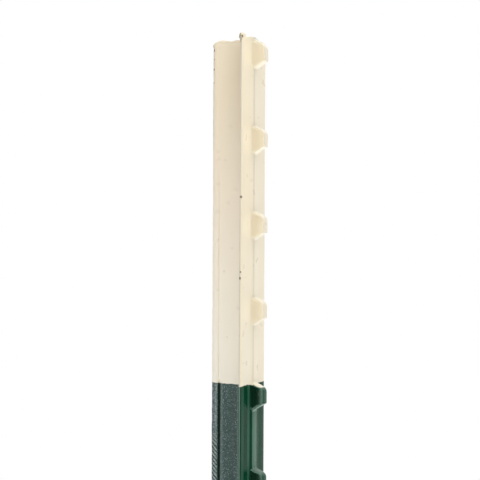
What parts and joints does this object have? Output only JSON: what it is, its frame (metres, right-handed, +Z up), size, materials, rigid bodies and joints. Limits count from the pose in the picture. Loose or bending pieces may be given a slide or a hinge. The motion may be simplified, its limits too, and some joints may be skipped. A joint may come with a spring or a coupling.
{
  "type": "studded steel t post",
  "caption": "Rolled T-section steel fence post with studs along its front rib, a beaded stem, a cream painted tip over green enamel and a clamped anchor plate near the driven end.",
  "frame": {"origin": "middle of the flange's front face at the post's lower, driven end", "axes": "+Z up the post towards the painted tip, +X the way the studs point, +Y across the flange"},
  "size_m": [0.0404, 0.09, 1.8298],
  "materials": {
    "post_enamel": "gloss",
    "plate_enamel": "satin"
  },
  "bodies": {
    "root": {"post": "post_enamel", "anchor_plate": "plate_enamel"}
  },
  "joints": []
}
